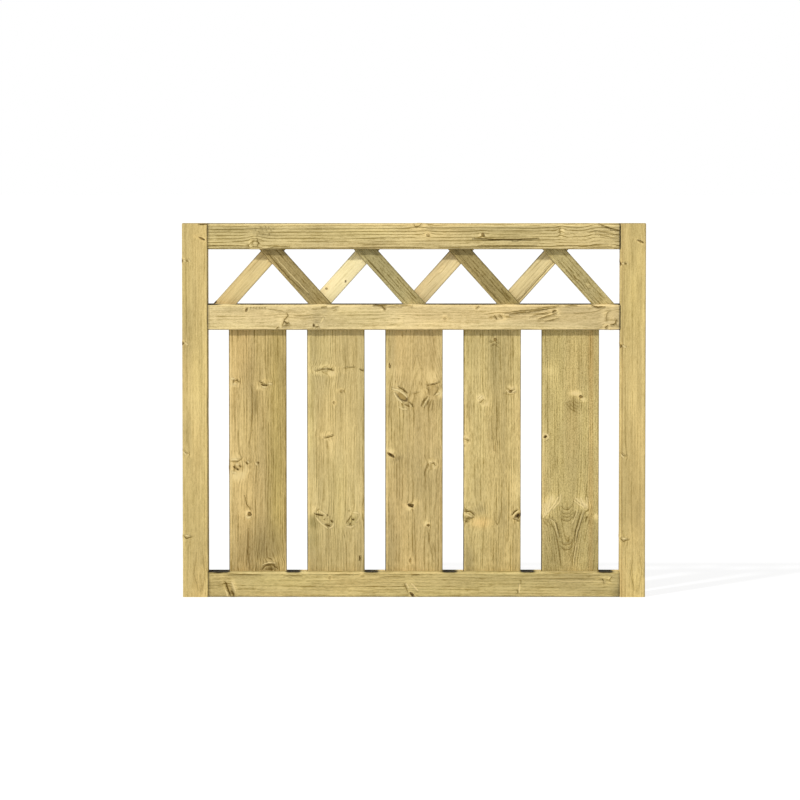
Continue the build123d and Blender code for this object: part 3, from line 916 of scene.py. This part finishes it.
make_board(5, (193, 173, 113), Log(57, 12, 0.0, 0.0, 4.6, 0.7, 151, 1.6, 2.2), (
    Knot(374, 84, 6, 7, 0.8, 0.4, swell=0.6), Knot(289, 8, 6, 6, 1.0, 0.7),
    Knot(114, 11, 12, 18, 0.1, 0.2, swell=0.9), Knot(136, 98, 12, 20, 0.1, 0.2, swell=0.9),
    (1.3, -0.5, (113, 16), (106, 28), (90, 32), (73, 36)),
    (1.1, 0.55, (113, 22), (103, 32), (90, 36), (73, 40)),
    (1.1, 0.4, (106, 13), (95, 26), (81, 31), (63, 35), (39, 39), (5, 44)),
    (1.2, -0.5, (131, 91), (109, 84), (81, 76), (48, 73), (18, 69)),
    (1.2, 0.6, (131, 87), (109, 80), (84, 73), (59, 71)),
    (1.1, 0.5, (124, 92), (104, 86), (84, 80), (63, 75), (34, 69), (7, 66)),
    (1.2, -0.4, (131, 78), (113, 71), (102, 66)), (1.0, 0.45, (128, 74), (112, 68)),
    *((0.9, 0.4, (v + 8, 42), (v + 1, 48), (v, 54), (v + 1, 60), (v + 8, 67)) for v in FLAME_TIPS),
    (1.2, 0.45, (118, 98), (104, 95)), (1.1, 0.4, (110, 103), (100, 102)),
    (2.2, -0.6, (114, 4), (128, 10), (146, 8)), (2.2, -0.55, (118, 9), (140, 18), (161, 21)),
    (1.8, -0.55, (124, 14), (146, 30), (160, 37)), (1.3, -0.5, (130, 24), (150, 40), (166, 42)),
    (2.0, -0.6, (136, 100), (144, 92), (158, 84)), (1.6, -0.5, (138, 98), (150, 98), (160, 96)),
    (1.8, -0.55, (138, 96), (146, 86), (158, 72)), (1.4, -0.45, (136, 94), (142, 82), (152, 70)),
    *((0.9, 0.35, *ripple(374, 84, radius)) for radius in (16, 22, 28, 34)),
    (1.5, -0.6, (294, 6), (293, 13), (287, 16), (282, 10)),
    Patch(260, 106, 600, 6, -0.04, 0.7), Patch(330, 12, 110, 20, 0.09),
    Patch(62, 60, 50, 90, -0.12, bold=0.2), Patch(20, 60, 60, 90, -0.05), Patch(50, 48, 50, 12, 0.1),
    Patch(430, 18, 16, 14, 0.2, ragged=0.8), Patch(382, 72, 6, 14, 0.44), Patch(367, 91, 6, 6, 0.34),
    Patch(355, 68, 20, 22, -0.06, bold=0.8), Patch(288, 15, 7, 5, 0.26),
    Patch(133, 9, 18, 10, 0.5, ragged=0.5), Patch(152, 22, 15, 17, 0.46, ragged=0.7),
    Patch(140, 95, 9, 11, 0.56, ragged=0.3), Patch(152, 82, 13, 16, 0.4, ragged=0.7),
    Patch(117, 117, 7, 5, 0.5),
    Figure(70, 95, 3, -1),
))

# The tones of the slats, the wood of each one, and what those of one kind share. The rising slats' tones
# are painted paler, a painted sheen, and the falling slats' darker, painted shade, for how the light lies
# across their grain. The rising slats share painted shade along both edges; the falling slats share paler
# wood toward the foot, a painted highlight along the lower edge and painted shade along the upper edge.
RISING_SHEEN_TONES = ((214, 191, 132), (255, 237, 180), (219, 197, 142), (229, 208, 149))
FALLING_SHADE_TONES = ((168, 149, 97), (170, 156, 105), (163, 145, 93), (184, 167, 113))
RISING_WOOD = (
    (Knot(3, 1, 6, 5, 1.0, 0.0),),
    (Knot(87, 28, 5, 5, 1.0, 0.2), Knot(48, 9, 5, 5, 0.7), Patch(70, 18, 900, 900, 0.08)),
    (Knot(110, 14, 8, 5, 0.3),),
    ((0.8, 0.55, (10, 32), (90, 31.4), (170, 32)),),
)
FALLING_WOOD = (
    ((1.1, 0.55, (55, 10), (110, 6), (168, 8)), (1.1, -0.5, (45, 16), (110, 14), (155, 14))),
    ((0.9, 0.4, (30, 7), (90, 8), (150, 6)),),
    ((1.0, 0.5, (20, 6), (90, 7)), (0.9, 0.45, (15, 26), (50, 27))),
    (Knot(60, 20, 8, 6, 0.4), Knot(95, 12, 7, 5, 0.35), (0.8, 0.35, (60, 8), (120, 9))),
)
RISING_SHARED = (Patch(70, 0.2, 400, 1.3, -0.5), Patch(70, SLAT_WIDTH, 400, 1.2, -0.4))
FALLING_SHARED = (Patch(8, 18, 36, 60, 0.15), Patch(70, 4, 400, 2.0, 0.22), Patch(70, 36.6, 400, 1.2, -0.3))
for n in range(4):
    make_slat(
        f"rising_slat_{n + 1}", RISING_SHEEN_TONES[n],
        Log(-70 + 9 * n, 60, 0.01, 0.0, 5.0, 0.45, 211 + 10 * n), True, RISING_WOOD[n] + RISING_SHARED,
    )
    make_slat(
        f"falling_slat_{n + 1}", FALLING_SHADE_TONES[n],
        Log(90 - 8 * n, 50, 0.01, 0.0, 4.6, 1.1, 307 + 10 * n, 1.6, 1.2), False,
        FALLING_WOOD[n] + FALLING_SHARED,
    )


# Floor, light and camera

def mix_seen(tree, lit, seen, kind="ShaderNodeOutputMaterial"):
    """End a tree with one shader for the light on the leaf, and another for rays that come from the
    camera or by way of gloss or glass."""
    s = Shading(tree)
    path = tree.nodes.new("ShaderNodeLightPath").outputs
    share = s.math("MAXIMUM", path["Is Camera Ray"], path["Is Glossy Ray"])
    share = s.math("MAXIMUM", share, path["Is Transmission Ray"])
    both = {0: share, 1: lit.outputs[0], 2: seen.outputs[0]}
    end_tree(tree, add_node(tree, "ShaderNodeMixShader", both), kind)


def make_floor(level):
    """A white floor at the foot of the leaf. The camera sees it near white, with the leaf's shadow."""
    half = 40.0
    lit_white = (0.8, 0.8, 0.8, 1.0)
    seen_white = (0.25, 0.25, 0.25, 1.0)
    seen_glow = 0.84
    corners = [(-half, -half, level), (half, -half, level), (half, half, level), (-half, half, level)]
    mesh = bpy.data.meshes.new("floor")
    mesh.from_pydata(corners, [], [(0, 1, 2, 3)])
    material = bpy.data.materials.new("floor")
    tree = empty_tree(material)
    plain = add_node(tree, "ShaderNodeBsdfDiffuse", {"Color": lit_white})
    faint = add_node(tree, "ShaderNodeBsdfDiffuse", {"Color": seen_white})
    glow = add_node(tree, "ShaderNodeEmission", {"Strength": seen_glow})
    bright = add_node(tree, "ShaderNodeAddShader", {0: glow.outputs[0], 1: faint.outputs[0]})
    mix_seen(tree, plain, bright)
    mesh.materials.append(material)
    add_object("floor", mesh)


def make_light():
    """A soft sun from the upper left in front, and an even white sky."""
    sun_strength = 2.16
    sun_spread = 4.0
    sun_way = Vector((0.75, 1.0, -1.12))
    sky_strength = 0.43
    white = (1.0, 1.0, 1.0, 1.0)
    sun = bpy.data.lights.new("key", "SUN")
    sun.energy = sun_strength
    sun.angle = math.radians(sun_spread)
    add_object("key", sun).rotation_euler = sun_way.to_track_quat("-Z", "Y").to_euler()
    world = bpy.data.worlds.new("studio")
    bpy.context.scene.world = world
    tree = empty_tree(world)
    sky = add_node(tree, "ShaderNodeBackground", {"Color": white, "Strength": sky_strength})
    backdrop = add_node(tree, "ShaderNodeBackground", {"Color": white, "Strength": 1.0})
    mix_seen(tree, sky, backdrop, "ShaderNodeOutputWorld")


def make_camera():
    """Far in front of the leaf and a little above it, so that the rails' tops show as thin strips."""
    distance = 10.0
    raised = 0.65
    width_seen = 1.7092
    aim_left = 0.0299
    aim_up = 0.0232
    middle = (Vector(cad_low) + Vector(cad_high)) / 2
    aim = Vector((middle.x - aim_left, cad_low[1], middle.z + aim_up))
    way = Vector((0.0, distance, -raised))
    camera = bpy.data.cameras.new("camera")
    camera.sensor_width = 36.0
    camera.lens = camera.sensor_width * way.length / width_seen
    holder = add_object("camera", camera)
    holder.location = aim - way
    holder.rotation_euler = way.to_track_quat("-Z", "Y").to_euler()
    bpy.context.scene.camera = holder


make_floor(cad_low[2])
make_light()
make_camera()
bpy.context.scene.view_settings.view_transform = "Standard"
